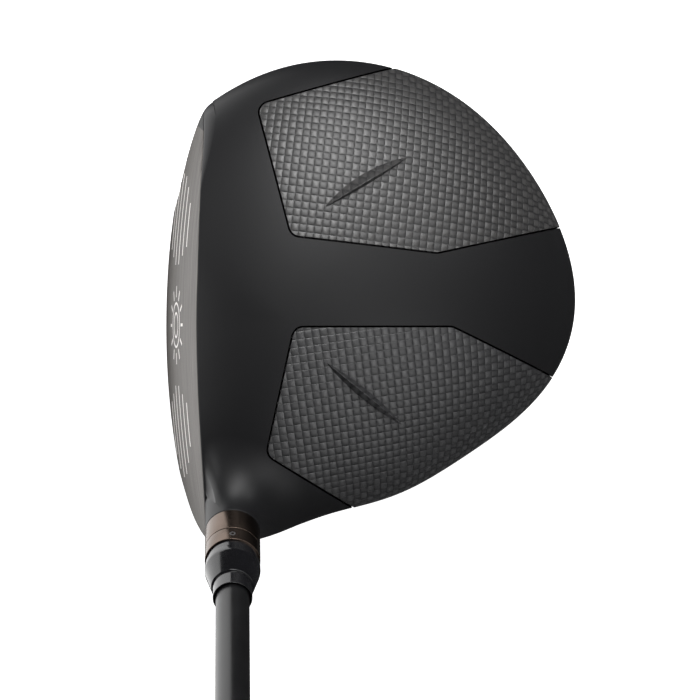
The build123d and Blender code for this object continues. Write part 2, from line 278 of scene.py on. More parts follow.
def panel_field(outline, grow):
    """Distance inside a crown panel's window, which ends at its plan outline and at the parting."""
    def field(points):
        return np.minimum(inside_plan(outline, points, grow), above_parting(points, grow))
    return field


# ---- mesh making ----
def new_object(name, points, faces, normals=None, uv=None):
    """Mesh object from whole arrays, in metres, smooth shaded, with its own normals and UV map if given."""
    mesh = bpy.data.meshes.new(name)
    mesh.from_pydata((points * MM).tolist(), [], faces.tolist())
    mesh.shade_smooth()
    if uv is not None:
        layer = mesh.uv_layers.new(name="UVMap")
        loops = np.empty(len(mesh.loops), np.int32)
        mesh.loops.foreach_get("vertex_index", loops)
        layer.data.foreach_set("uv", uv[loops].astype(np.float32).ravel())
    if normals is not None:
        mesh.normals_split_custom_set_from_vertices(unit(normals).tolist())
    mesh.validate()
    piece = bpy.data.objects.new(name, mesh)
    bpy.context.scene.collection.objects.link(piece)
    return piece


def finish_piece(piece, body, material, slot, *nodes):
    """Gives a piece its material and its body, and hides the CAD nodes it stands for; the slot argument is not used.
    """
    if material.name not in [m.name for m in piece.data.materials if m]:
        piece.data.materials.append(material)
    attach(piece, body)
    if nodes:
        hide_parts(*nodes)
    return piece


class Skin:
    """Loose triangles with a normal and a UV at each point, which fields can trim."""

    def __init__(self, points, normals, uv, triangles):
        self.points, self.normals, self.uv, self.triangles = points, normals, uv, triangles

    @classmethod
    def from_grid(cls, points, uv=None, wrap=False, flip=False):
        """Rows and columns of points joined into triangles, the last column to the first if it wraps."""
        rows, columns = points.shape[:2]
        if wrap:
            padded = np.concatenate([points[:, -1:], points, points[:, :1]], 1)
            across = (padded[:, 2:] - padded[:, :-2])
        else:
            across = np.gradient(points, axis=1)
        normals = unit(np.cross(np.gradient(points, axis=0), across))
        index = np.arange(rows * columns).reshape(rows, columns)
        for row in (0, rows - 1):
            if np.ptp(points[row], axis=0).max() < 1e-6:
                index[row] = index[row, 0]
                normals[row] = normals[row + 1 if row == 0 else row - 1].mean(0)
        right = np.roll(index, -1, 1) if wrap else index[:, 1:]
        left = index if wrap else index[:, :-1]
        a, b, c, d = left[:-1].ravel(), right[:-1].ravel(), right[1:].ravel(), left[1:].ravel()
        triangles = np.concatenate([np.stack([a, d, c], 1), np.stack([a, c, b], 1)])
        if flip:
            triangles, normals = triangles[:, ::-1], -normals
        flat_uv = np.zeros((rows * columns, 2)) if uv is None else uv.reshape(-1, 2)
        return cls(points.reshape(-1, 3), normals.reshape(-1, 3), flat_uv, triangles)

    def trim(self, field):
        """Keeps the side where the field is above zero; returns the new edge as point pairs and its points."""
        value = field(self.points)
        value = np.where(np.abs(value) < 1e-6, 1e-6, value)
        keep = value > 0
        count = keep[self.triangles].sum(1)
        whole = self.triangles[count == 3]
        cut = self.triangles[(count == 1) | (count == 2)]
        lone = np.where((keep[cut].sum(1) == 1)[:, None], keep[cut], ~keep[cut])
        turn = np.argmax(lone, 1)
        order = (np.arange(3)[None] + turn[:, None]) % 3
        cut = np.take_along_axis(cut, order, 1)
        pairs = np.concatenate([cut[:, [0, 1]], cut[:, [0, 2]]])
        ordered = np.sort(pairs, 1)
        edges, place = np.unique(ordered, axis=0, return_inverse=True)
        share = value[edges[:, 0]] / (value[edges[:, 0]] - value[edges[:, 1]])
        start = len(self.points)
        for name in ("points", "normals", "uv"):
            data = getattr(self, name)
            mixed = data[edges[:, 0]] + (data[edges[:, 1]] - data[edges[:, 0]]) * share[:, None]
            setattr(self, name, np.concatenate([data, mixed]))
        place = place.ravel() + start
        first, second = place[:len(cut)], place[len(cut):]
        single = keep[cut[:, 0]]
        tips = np.stack([cut[:, 0], first, second], 1)[single]
        base = ~single
        lower = np.stack([first, cut[:, 1], cut[:, 2]], 1)[base]
        upper = np.stack([first, cut[:, 2], second], 1)[base]
        self.triangles = np.concatenate([whole, tips, lower, upper])
        rim = np.where(single[:, None], np.stack([second, first], 1), np.stack([first, second], 1))
        rim = rim[rim[:, 0] != rim[:, 1]]
        out = -slope_of(field, self.points[start:])
        normals = unit(self.normals[start:])
        out = unit(out - (out * normals).sum(1, keepdims=True) * normals)
        return {"pairs": rim, "start": start, "out": out}

    def border(self, edge, profile, down=None):
        """Carries a profile of (outward, downward) steps along a trimmed edge, as a bevel and a wall."""
        used = np.unique(edge["pairs"])
        back = np.full(len(self.points), -1)
        back[used] = np.arange(len(used))
        pairs = back[edge["pairs"]]
        base = self.points[used]
        out = edge["out"][used - edge["start"]]
        normal = unit(self.normals[used])
        sink = -normal if down is None else np.broadcast_to(np.asarray(down, float), base.shape)
        steps = np.array(profile, float)
        rings = base[None] + out[None] * steps[:, :1, None] + sink[None] * steps[:, 1:, None]
        size = len(used)
        faces = []
        for low in range(len(steps) - 1):
            a, b = pairs[:, 1] + low * size, pairs[:, 0] + low * size
            faces.append(np.stack([a, b, b + size], 1))
            faces.append(np.stack([a, b + size, a + size], 1))
        tangent = np.gradient(rings, axis=0)
        side = unit(np.cross(normal, out))
        normals = unit(np.cross(side[None], tangent))
        facing = (normals * (normal + out * 0.5)[None]).sum(-1, keepdims=True)
        normals = np.where(facing.mean() < 0, -normals, normals)
        normals[0] = normal
        self.join(rings.reshape(-1, 3), normals.reshape(-1, 3), np.tile(self.uv[used], (len(steps), 1)),
                  np.concatenate(faces))

    def turn_over_if(self, inward):
        """Turns every triangle and normal over when the skin was found to face inwards."""
        if inward:
            self.normals, self.triangles = -self.normals, self.triangles[:, ::-1]

    def join(self, points, normals, uv, triangles):
        """Adds points and triangles, whose numbers start after the points that are there."""
        self.triangles = np.concatenate([self.triangles, triangles + len(self.points)])
        self.points = np.concatenate([self.points, points])
        self.normals = np.concatenate([self.normals, normals])
        self.uv = np.concatenate([self.uv, uv])

    def join_skin(self, other):
        self.join(other.points, other.normals, other.uv, other.triangles)

    def piece(self, name):
        """Drops unused points and triangles without area, and makes the object."""
        corners = self.points[self.triangles]
        area = np.linalg.norm(np.cross(corners[:, 1] - corners[:, 0], corners[:, 2] - corners[:, 0]), axis=1)
        triangles = self.triangles[area > 1e-7]
        used, flat = np.unique(triangles, return_inverse=True)
        return new_object(name, self.points[used], flat.reshape(-1, 3), self.normals[used], self.uv[used])


def rounded(profile, steps=8):
    """Profile of (radius, distance, round) corners with each round drawn as a short smooth arc."""
    corners = [np.array(corner[:2], float) for corner in profile]
    points = []
    for index, corner in enumerate(corners):
        size = profile[index][2] if len(profile[index]) > 2 else 0
        before, after = corners[index - 1], corners[(index + 1) % len(corners)]
        if not size:
            points.append(corner)
            continue
        back, ahead = before - corner, after - corner
        start = corner + back * min(size / np.linalg.norm(back), 0.48)
        end = corner + ahead * min(size / np.linalg.norm(ahead), 0.48)
        for share in np.linspace(0, 1, steps + 1):
            points.append((1 - share) ** 2 * start + 2 * share * (1 - share) * corner + share ** 2 * end)
    return np.array(points)


def lathe(name, profile, origin=GROUND_POINT, axis=UP_SHAFT, turns=96, shape=None, closed=True, sharp=13):
    """Profile turned about an axis; shape(radius, distance, angle) may change the radius as it turns."""
    outline = rounded(profile)
    angle = np.arange(turns) * 2 * math.pi / turns
    aside = unit(np.cross(axis, [1.0, 0.0, 0.0]) if abs(axis[1]) > 0.9 else np.cross(np.cross(axis, SIDEWAYS), axis))
    across = np.cross(axis, aside)
    radius = np.broadcast_to(outline[:, :1], (len(outline), turns))
    distance = np.broadcast_to(outline[:, 1:], (len(outline), turns))
    if shape:
        radius = shape(radius, distance, angle[None])
    spoke = np.cos(angle)[:, None] * aside + np.sin(angle)[:, None] * across
    points = origin + distance[..., None] * axis + radius[..., None] * spoke[None]
    rows = len(outline)
    index = np.arange(rows * turns).reshape(rows, turns)
    for row in np.where(outline[:, 0] < 1e-6)[0]:
        index[row] = index[row, 0]
    below = np.concatenate([index[1:], index[:1]]) if closed else index[1:]
    above = index if closed else index[:-1]
    quads = np.stack([above, np.roll(above, -1, 1), np.roll(below, -1, 1), below], -1).reshape(-1, 4)
    triangles = np.concatenate([quads[:, [0, 1, 2]], quads[:, [0, 2, 3]]])
    flat = points.reshape(-1, 3)
    distinct = (triangles[:, 0] != triangles[:, 1]) & (triangles[:, 1] != triangles[:, 2])
    triangles = triangles[distinct & (triangles[:, 0] != triangles[:, 2])]
    corners = flat[triangles] - origin
    volume = np.einsum("ij,ij->i", corners[:, 0], np.cross(corners[:, 1], corners[:, 2])).sum()
    if volume < 0:
        triangles = triangles[:, ::-1]
    used, packed = np.unique(triangles, return_inverse=True)
    piece = new_object(name, flat[used], packed.reshape(-1, 3))
    piece.data.set_sharp_from_angle(angle=math.radians(sharp))
    return piece


# ---- materials ----

class Paint:
    """A material's node tree with short calls for the nodes used here."""

    def __init__(self, name, **inputs):
        self.material = bpy.data.materials.new(name)
        self.material.use_nodes = True
        self.tree = self.material.node_tree
        self.shader = self.tree.nodes["Principled BSDF"]
        for key, value in inputs.items():
            self.shader.inputs[key.replace("_", " ")].default_value = value

    def node(self, kind, inputs=None, **settings):
        made = self.tree.nodes.new(kind)
        for key, value in settings.items():
            setattr(made, key, value)
        for key, value in (inputs or {}).items():
            if isinstance(value, bpy.types.NodeSocket):
                self.tree.links.new(value, made.inputs[key])
            else:
                made.inputs[key].default_value = value
        return made

    def math(self, operation, first, second=0.0, third=0.0):
        return self.node("ShaderNodeMath", {0: first, 1: second, 2: third}, operation=operation).outputs[0]

    def link(self, output, name):
        self.tree.links.new(output, self.shader.inputs[name])

    def place(self, source="Object", scale=(1, 1, 1)):
        coordinates = self.node("ShaderNodeTexCoord").outputs[source]
        return self.node("ShaderNodeMapping", {"Vector": coordinates, "Scale": scale}).outputs["Vector"]

    def noise(self, vector, scale, detail=3.0, roughness=0.5):
        made = self.node("ShaderNodeTexNoise", {"Vector": vector, "Scale": scale, "Detail": detail,
                                                "Roughness": roughness})
        return made.outputs["Fac"]

    def ramp(self, value, low, high, dark, light):
        made = self.node("ShaderNodeValToRGB", {"Fac": value})
        made.color_ramp.elements[0].position = low
        made.color_ramp.elements[0].color = (*dark, 1)
        made.color_ramp.elements[1].position = high
        made.color_ramp.elements[1].color = (*light, 1)
        return made.outputs["Color"]

    def spread(self, value, low, high):
        return self.node("ShaderNodeMapRange", {"Value": value, "To Min": low, "To Max": high}).outputs["Result"]

    def bump(self, height, distance, strength=1.0):
        made = self.node("ShaderNodeBump", {"Height": height, "Distance": distance, "Strength": strength})
        self.link(made.outputs["Normal"], "Normal")


def satin_paint():
    """Satin black body paint: a faint orange peel and a slow drift in gloss."""
    paint = Paint("satin_black_paint", Base_Color=(0.010, 0.010, 0.011, 1), Specular_IOR_Level=0.32)
    grain = paint.noise(paint.place(), 1400.0, 2.0)
    drift = paint.noise(paint.place(), 30.0, 3.0)
    paint.link(paint.spread(drift, 0.40, 0.47), "Roughness")
    paint.bump(grain, 0.000004)
    return paint.material


def woven_carbon(name, light):
    """Plain weave from the UV map, one unit to a tow: raised tows over and under, with fine fibres. Its colour also
    holds painted shade at the tows' edges and dives, and a painted sheen that makes the tows along u lighter.
    """
    paint = Paint(name, Specular_IOR_Level=0.75)
    uv = paint.node("ShaderNodeTexCoord").outputs["UV"]
    parts = paint.node("ShaderNodeSeparateXYZ", {"Vector": uv})
    u, v = parts.outputs[0], parts.outputs[1]
    odd = paint.math("MODULO", paint.math("ADD", paint.math("FLOOR", u), paint.math("FLOOR", v)), 2.0)
    odd = paint.math("ABSOLUTE", odd)

    def across(value):
        """Nought at a tow's edges, one along its middle."""
        return paint.math("SINE", paint.math("MULTIPLY", paint.math("FRACT", value), math.pi))

    def tow(wide, long):
        """Height of a tow: rounded over its width, diving under at each end."""
        rounding = paint.math("POWER", across(wide), 0.6)
        dive = paint.math("POWER", across(long), 0.35)
        return paint.math("MULTIPLY", rounding, dive)

    over_u, over_v = tow(v, u), tow(u, v)
    height = paint.math("ADD", paint.math("MULTIPLY", over_u, odd),
                        paint.math("MULTIPLY", over_v, paint.math("SUBTRACT", 1.0, odd)))
    fibre_u = paint.noise(paint.place("UV", (1.2, 26.0, 1.0)), 1.0, 2.0)
    fibre_v = paint.noise(paint.place("UV", (26.0, 1.2, 1.0)), 1.0, 2.0)
    fibre = paint.node("ShaderNodeMix", {0: odd, 2: fibre_v, 3: fibre_u}).outputs[0]
    patch = paint.noise(paint.place("UV", (0.35, 0.35, 1.0)), 1.0, 3.0)
    # painted shade and highlight: the tow's height lightens its crown and darkens its edges and where it dives under
    tone = paint.math("MULTIPLY_ADD", height, 0.40, paint.math("MULTIPLY", fibre, 0.30))
    # painted sheen: tows running along u are made lighter than those along v, standing in for their different
    # reflection
    tone = paint.math("ADD", tone, paint.math("MULTIPLY", odd, 0.30))
    tone = paint.math("ADD", tone, paint.math("MULTIPLY", patch, 0.12))
    dark = (0.010, 0.010, 0.011)
    paint.link(paint.ramp(tone, 0.25, 1.05, dark, light), "Base Color")
    paint.link(paint.spread(odd, 0.42, 0.33), "Roughness")
    relief = paint.math("MULTIPLY_ADD", fibre, 0.12, height)
    paint.bump(relief, 0.00016, 1.0)
    return paint.material


def brushed_face():
    """Dark grey metal with long brush lines from heel to toe; past the toe-end line it is body paint."""
    paint = Paint("brushed_face", Specular_IOR_Level=0.3)
    parts = paint.node("ShaderNodeSeparateXYZ", {"Vector": paint.node("ShaderNodeTexCoord").outputs["UV"]})
    fine = paint.noise(paint.place("UV", (0.06, 6.0, 1.0)), 1.0, 4.0, 0.65)
    broad = paint.noise(paint.place("UV", (0.02, 0.8, 1.0)), 1.0, 3.0, 0.6)
    both = paint.math("MULTIPLY_ADD", fine, 0.65, paint.math("MULTIPLY", broad, 0.35))
    bowed = paint.math("MULTIPLY", paint.math("POWER", parts.outputs[1], 2.0), TOE_LINE_BOW)
    metal = paint.node("ShaderNodeMapRange", {"Value": paint.math("SUBTRACT", parts.outputs[0], bowed),
                                              "From Min": TOE_LINE - 0.15, "From Max": TOE_LINE + 0.15})
    metal = metal.outputs["Result"]
    shade = paint.ramp(both, 0.36, 0.64, (0.05, 0.045, 0.041), (0.165, 0.152, 0.14))
    tone = paint.node("ShaderNodeMix", {0: metal, 6: (0.010, 0.010, 0.011, 1), 7: shade}, data_type="RGBA")
    paint.link(tone.outputs[2], "Base Color")
    paint.link(paint.math("MULTIPLY", metal, 0.55), "Metallic")
    paint.link(paint.spread(both, 0.56, 0.42), "Roughness")
    paint.bump(fine, 0.000012, 0.7)
    return paint.material


def turned_metal(name, color, low=0.22, high=0.36):
    """Lathe-turned metal: fine rings square to the shaft, a little uneven in gloss."""
    paint = Paint(name, Metallic=1.0)
    base = paint.place()
    along = paint.node("ShaderNodeVectorMath", {0: base, 1: tuple(UP_SHAFT)}, operation="DOT_PRODUCT")
    rings = paint.noise(paint.node("ShaderNodeCombineXYZ", {"X": along.outputs["Value"]}).outputs[0], 4000.0, 2.0)
    patch = paint.noise(base, 220.0, 3.0)
    darker = tuple(0.72 * part for part in color)
    paint.link(paint.ramp(patch, 0.3, 0.7, darker, color), "Base Color")
    paint.link(paint.spread(rings, low, high), "Roughness")
    paint.bump(rings, 0.000006, 0.6)
    return paint.material


def gloss_black(name, color, roughness, coat=0.0):
    """Smooth black plastic or clear-coated graphite, with a trace of unevenness."""
    paint = Paint(name, Coat_Weight=coat, Coat_Roughness=0.06)
    cloud = paint.noise(paint.place(), 160.0, 2.0)
    lighter = tuple(1.5 * part for part in color)
    paint.link(paint.ramp(cloud, 0.3, 0.7, color, lighter), "Base Color")
    paint.link(paint.spread(cloud, roughness, roughness + 0.05), "Roughness")
    paint.bump(cloud, 0.000006, 0.3)
    return paint.material


def pale_nylon():
    paint = Paint("nylon", Subsurface_Weight=0.1)
    paint.link(paint.ramp(paint.noise(paint.place(), 900.0), 0.3, 0.7, (0.55, 0.55, 0.52), (0.68, 0.68, 0.65)),
               "Base Color")
    paint.link(paint.spread(paint.noise(paint.place(), 300.0), 0.4, 0.5), "Roughness")
    return paint.material


def grip_rubber():
    """Matte rubber with a fine tooth over the moulded pattern."""
    paint = Paint("grip_rubber")
    tooth = paint.noise(paint.place(), 2600.0, 2.0)
    cloud = paint.noise(paint.place(), 60.0, 3.0)
    paint.link(paint.ramp(cloud, 0.3, 0.7, (0.014, 0.014, 0.015), (0.03, 0.03, 0.032)), "Base Color")
    paint.link(paint.spread(tooth, 0.66, 0.82), "Roughness")
    paint.bump(tooth, 0.00003, 0.6)
    return paint.material


def masking_tape():
    paint = Paint("grip_tape_paper", Roughness=0.85)
    weave = paint.noise(paint.place(), 1800.0, 2.0)
    paint.link(paint.ramp(weave, 0.3, 0.7, (0.62, 0.58, 0.46), (0.74, 0.70, 0.58)), "Base Color")
    paint.bump(weave, 0.00002, 0.5)
    return paint.material


def score_white():
    paint = Paint("etched_line", Roughness=0.6)
    speck = paint.noise(paint.place(), 3000.0, 2.0)
    paint.link(paint.ramp(speck, 0.3, 0.7, (0.80, 0.76, 0.73), (0.95, 0.92, 0.90)), "Base Color")
    return paint.material


def pale_floor():
    paint = Paint("pale_floor", Roughness=0.9, Emission_Color=(1, 1, 1, 1), Emission_Strength=1.0)
    mottle = paint.noise(paint.place(), 3.0, 2.0)
    paint.link(paint.ramp(mottle, 0.3, 0.7, (0.93, 0.93, 0.93), (0.95, 0.95, 0.95)), "Base Color")
    return paint.material


PAINT = satin_paint()
FACE_METAL = brushed_face()
BRONZE = turned_metal("bronze_anodised", (0.15, 0.112, 0.09), low=0.2, high=0.3)
STEEL = turned_metal("dark_steel", (0.36, 0.36, 0.37))
WEIGHT_METAL = turned_metal("tungsten_weight", (0.42, 0.42, 0.43), 0.25, 0.4)
FERRULE_BLACK = gloss_black("ferrule_plastic", (0.005, 0.005, 0.006), 0.14, 0.3)
SHAFT_BLACK = gloss_black("shaft_graphite", (0.005, 0.005, 0.0055), 0.3)
NYLON = pale_nylon()
RUBBER = grip_rubber()
TAPE = masking_tape()
ETCHED = score_white()


# ---- body ----
def sole_spot(name):
    """Place of a sole weight and the direction straight into the head, from its joint."""
    joint = joints["weight_" + name + "_turn"]
    return np.array(joint["pos_m"], float) / MM, -np.array(joint["axis"], float)


def hosel_flare(turns, reach):
    """Crown swept up to the hosel: its height along the shaft plus an elliptical rise that ends upright."""
    share = (1 - np.cos(np.linspace(0, math.pi / 2, 48))) ** 1.3
    radius = HOSEL_RADIUS + (reach[None] - HOSEL_RADIUS) * share[:, None]
    along = crown_by_shaft(turns[None], radius)
    near = 1 - share[:, None]
    climb = np.clip(FLARE_TOP - along[0], 1.5, 12.0) * np.clip((reach - HOSEL_RADIUS) / 6, 0.25, 1)
    along = along + climb[None] * (1 - np.sqrt(1 - near ** 2))
    points = beside_shaft(np.broadcast_to(turns, along.shape), radius, along)
    skin = Skin.from_grid(points, wrap=True)
    skin.turn_over_if((skin.normals @ UP_SHAFT).sum() < 0)
    return skin


def body_skin():
    """Head skin over every direction, raised round the hosel, with windows, weight pockets and the port."""
    fine = np.linspace(math.radians(-46), math.radians(16), 210, endpoint=False)
    coarse = np.linspace(math.radians(16), math.radians(314), 390, endpoint=False)
    angle = np.concatenate([fine, coarse])
    bands = [np.linspace(-90, -4, 62), np.linspace(-3, 60, 96), np.linspace(61, 90, 24)]
    latitude = np.radians(np.concatenate(bands))
    points = head_skin(angle[None], latitude[:, None])
    skin = Skin.from_grid(points, wrap=True, flip=True)
    turns = np.arange(240) * 2 * math.pi / 240
    reach = flare_edge(turns)

    def outside_flare(place):
        offset = place - GROUND_POINT
        turn = np.arctan2(offset @ SIDEWAYS, offset @ DOWNHILL)
        clear = from_shaft_line(place) - np.interp(turn, turns, reach, period=2 * math.pi)
        return np.where(offset @ UP_SHAFT > 34, clear, 99.0)

    skin.trim(outside_flare)
    skin.join_skin(hosel_flare(turns, reach))

    def behind_edge(place):
        normal = unit(slope_of(head_level, place))
        toward = unit(place - FACE_BALL)
        return behind_face(place) - edge_radius(place) * (1 - (normal * toward).sum(-1))

    skin.trim(behind_edge)
    for outline in (TOE_PANEL, HEEL_PANEL):
        window = panel_field(outline, PANEL_GAP / 2 + PANEL_ROUND)
        edge = skin.trim(lambda place: -window(place))
        skin.border(edge, [(0, 0), (0.08, 0.02), (0.13, 0.06), (PANEL_ROUND, 0.15), (PANEL_ROUND, 1.4), (4.0, 1.6)])
    for name in ("toe", "heel", "rear"):
        place, inward = sole_spot(name)

        def outside_pocket(points, place=place, inward=inward):
            offset = points - place
            along = offset @ inward
            return np.linalg.norm(offset - along[..., None] * inward, axis=-1) - WEIGHT_POCKET - RIM_TRIM \
                + np.where(np.abs(along) > 15, 99.0, 0.0)

        edge = skin.trim(outside_pocket)
        skin.border(edge, [(0, 0), (0.15, 0.03), (0.3, 0.12), (0.4, 0.4), (0.4, 4.6), (2.9, 4.6), (2.9, 11.8),
                           (9.05, 11.8)], down=inward)

    def outside_port(points):
        return from_shaft_line(points) - PORT_RADIUS - RIM_TRIM + np.where(points[..., 2] > 20, 99.0, 0.0)

    edge = skin.trim(outside_port)
    skin.border(edge, [(0, 0), (0.15, 0.03), (0.3, 0.12), (0.4, 0.4), (0.4, 24.0)], down=UP_SHAFT)
    return skin


def face_loop(turns):
    """Where the rounded edge of the face runs, found by halving along each heading from the face's centre.

    Returns the heading's angle, the distance from the centre, the direction on the face's ball, the
    crown's normal and the centre line of the round.
    """
    angle = np.arange(turns) * 2 * math.pi / turns
    aside = np.array([1.0, 0.0, 0.0])
    heading = np.cos(angle)[:, None] * aside + np.sin(angle)[:, None] * FACE_UP

    def at(distance):
        turn = (distance / FACE_RADIUS)[:, None]
        return np.cos(turn) * FACE_NORMAL + np.sin(turn) * heading

    low, high = np.full(turns, 5.0), np.full(turns, 90.0)
    for _ in range(40):
        middle = (low + high) / 2
        front = FACE_BALL + at(middle) * FACE_RADIUS
        size = edge_radius(front)[:, None]
        inner = front - at(middle) * size
        normal = unit(slope_of(head_level, inner))
        normal = unit(slope_of(head_level, inner + normal * size))
        outside = head_level(inner + normal * size) > 0
        low, high = np.where(outside, low, middle), np.where(outside, middle, high)
    return angle, low, at(low), normal, inner


def edge_round(direction, normal, inner, shares):
    """Round from the face to the crown: the inner line plus its radius, turning between two normals."""
    blend = unit(direction[None] * (1 - shares[:, None, None]) + normal[None] * shares[:, None, None])
    return inner[None] + blend * edge_radius(inner)[None, :, None]


def face_plate():
    """Bulged face out to its rounded edge, with a return wall behind it; UV in millimetres across and up."""
    turns = FACE_TURNS
    angle, reach, direction, normal, inner = face_loop(turns)
    shares = np.concatenate([np.linspace(0, 0.94, 60), np.linspace(0.955, 1, 6)])[1:]
    distance = reach[None] * shares[:, None]
    heading = np.cos(angle)[:, None] * np.array([1.0, 0, 0]) + np.sin(angle)[:, None] * FACE_UP
    turn = (distance / FACE_RADIUS)[..., None]
    front = FACE_BALL + (np.cos(turn) * FACE_NORMAL + np.sin(turn) * heading[None]) * FACE_RADIUS
    bend = edge_round(direction, normal, inner, np.linspace(0, SEAM_SHARE, 8)[1:])
    inward = unit(inner - bend[-1])[None]
    points = np.concatenate([front, bend, bend[-1:] + inward * 0.15 - direction[None] * 0.1, bend[-1:] + inward * 0.7])
    centre = np.broadcast_to(FACE_CENTRE, (1, turns, 3))
    points = np.concatenate([centre, points])
    offset = points - FACE_CENTRE
    uv = np.stack([offset[..., 0], offset @ FACE_UP], -1)
    skin = Skin.from_grid(points, uv, wrap=True)
    skin.turn_over_if((skin.normals[turns * 3] * FACE_NORMAL).sum() < 0)
    skin.normals[:turns] = FACE_NORMAL
    return skin


def brow():
    """The crown side of the face's rounded edge, painted with the body."""
    direction, normal, inner = face_loop(FACE_TURNS)[2:]
    bend = edge_round(direction, normal, inner, np.linspace(SEAM_SHARE + 0.02, 1.0, 12))
    lip = bend[:1] + unit(inner - bend[0])[None] * 0.5
    points = np.concatenate([lip, bend])
    skin = Skin.from_grid(points, wrap=True)
    middle = skin.normals.reshape(len(points), -1, 3)[-3]
    skin.turn_over_if((middle * normal).sum() < 0)
    skin.normals[-FACE_TURNS:] = normal
    return skin


def build_body():
    skin = body_skin()
    skin.join_skin(brow())
    finish_piece(skin.piece("body_skin"), "head", PAINT, "body_paint", "body_shell")
    neck = lathe("hosel_neck", [
        (HOSEL_RADIUS, 40), (HOSEL_RADIUS, HOSEL_RIM, 0.35), (HOSEL_BORE, HOSEL_RIM, 0.25),
        (HOSEL_BORE, SLEEVE_SEAT), (2.9, SLEEVE_SEAT), (2.9, BOLT_SHELF), (PORT_RADIUS, BOLT_SHELF),
        (PORT_RADIUS, 20), (6.4, 20), (6.4, 30)], turns=128)
    finish_piece(neck, "head", PAINT, "body_paint")
    finish_piece(face_plate().piece("face_front"), "head", FACE_METAL, "face_metal", "face_plate")


# ---- crown panels ----
def crown_lay(angle, latitude, turn):
    """UV of the cloth: distance over the crown from its top, kept true along each ray, in tow widths."""
    rays = np.linspace(math.radians(90), math.radians(-40), 400)
    track = head_skin(angle.ravel()[None], rays[:, None])
    steps = np.linalg.norm(np.diff(track, axis=0), axis=-1)
    travelled = np.concatenate([np.zeros((1, steps.shape[1])), np.cumsum(steps, 0)])
    place = np.interp(-latitude.ravel(), -rays, np.arange(len(rays)))
    low = np.clip(place.astype(int), 0, len(rays) - 2)
    share = place - low
    distance = travelled[low] * (1 - share[:, None]) + travelled[low + 1] * share[:, None]
    heading = angle.ravel()[None]
    x, y = distance * np.cos(heading), distance * np.sin(heading)
    cosine, sine = math.cos(turn), math.sin(turn)
    u = (x * cosine + y * sine) / TOW_WIDTH + CLOTH_START
    v = (y * cosine - x * sine) / TOW_WIDTH + CLOTH_START
    return np.stack([u, v], -1)


def crown_panel(outline, angles, turn):
    """Panel skin inside its window, a little proud of the body, with rounded edges and a wall below."""
    angle = np.linspace(math.radians(angles[0]), math.radians(angles[1]), 330)
    latitude = np.radians(np.concatenate([[89.8, 89, 88, 86.5, 85, 83, 81], np.linspace(80, -28, 210)]))
    points = head_skin(angle[None], latitude[:, None])
    normals = unit(slope_of(head_level, points))
    uv = crown_lay(angle, latitude, turn)
    skin = Skin.from_grid(points + normals * PANEL_PROUD, uv)
    skin.turn_over_if((skin.normals * normals.reshape(-1, 3)).sum() < 0)
    edge = skin.trim(panel_field(outline, -PANEL_GAP / 2 - PANEL_ROUND))
    skin.border(edge, [(0, 0), (0.08, 0.02), (0.13, 0.07), (PANEL_ROUND, 0.18), (PANEL_ROUND, 1.1), (-0.6, 1.15)])
    return skin


def fin(ends, outer_side, widths, height, turn):
    """Raised fin on a panel: a crest between its ends, falling over one width behind it and one in front."""
    start, end = np.array(ends[0], float), np.array(ends[1], float)
    along = end - start
    length = np.linalg.norm(along)
    across = np.array([-along[1], along[0]]) / length * outer_side
    share = np.linspace(0, 1, 90)
    swell = np.sin(math.pi * share) ** 0.75
    side = np.array([-1.0, -0.8, -0.55, -0.3, -0.12, 0.0, 0.06, 0.3, 0.62, 0.85, 1.0])
    level = np.array([-0.3, 0.0, 0.3, 0.62, 0.9, 1.0, 0.97, 0.66, 0.3, 0.0, -0.25])
    width = np.where(side < 0, widths[0], widths[1])
    plan = start + along * share[:, None, None] + across * (side * width)[None, :, None] * swell[:, None, None]
    base = crown_at(plan[..., 0], plan[..., 1]) + PANEL_PROUD
    z = base + level[None] * (height * swell[:, None] + 0.05) - 0.02
    points = np.concatenate([plan, z[..., None]], -1)
    cosine, sine = math.cos(turn), math.sin(turn)
    u = (plan[..., 0] * cosine + plan[..., 1] * sine) / TOW_WIDTH + CLOTH_START
    v = (plan[..., 1] * cosine - plan[..., 0] * sine) / TOW_WIDTH + CLOTH_START
    skin = Skin.from_grid(points, np.stack([u, v], -1))
    skin.turn_over_if(skin.normals[:, 2].sum() < 0)
    return skin


def build_panels():
    toe_turn, heel_turn = math.radians(-7), math.radians(8)
    # painted light: the toe panel's carbon is a slightly lighter copy of the heel's, for the brighter light on the toe
    # panel
    toe_carbon = woven_carbon("woven_carbon_toe", (0.066, 0.064, 0.063))
    heel_carbon = woven_carbon("woven_carbon_heel", (0.062, 0.062, 0.064))
    toe = crown_panel(TOE_PANEL, (84, 196), toe_turn)
    toe.join_skin(fin(TOE_FIN, 1, (0.8, 2.7), 1.7, toe_turn))
    finish_piece(toe.piece("crown_toe_skin"), "head", toe_carbon, "carbon", "crown_panel_toe")
    heel = crown_panel(HEEL_PANEL, (-18, 98), heel_turn)
    heel.join_skin(fin(HEEL_FIN, -1, (1.5, 1.6), 2.0, heel_turn))
    finish_piece(heel.piece("crown_heel_skin"), "head", heel_carbon, "carbon", "crown_panel_heel")


# ---- face marks ----
def on_face(x, up, lift):
    """Point on the bulged face from millimetres towards the heel and up, raised by the lift."""
    flat = FACE_CENTRE + x[..., None] * np.array([1.0, 0, 0]) + up[..., None] * FACE_UP
    return FACE_BALL + unit(flat - FACE_BALL) * (FACE_RADIUS + lift)[..., None]


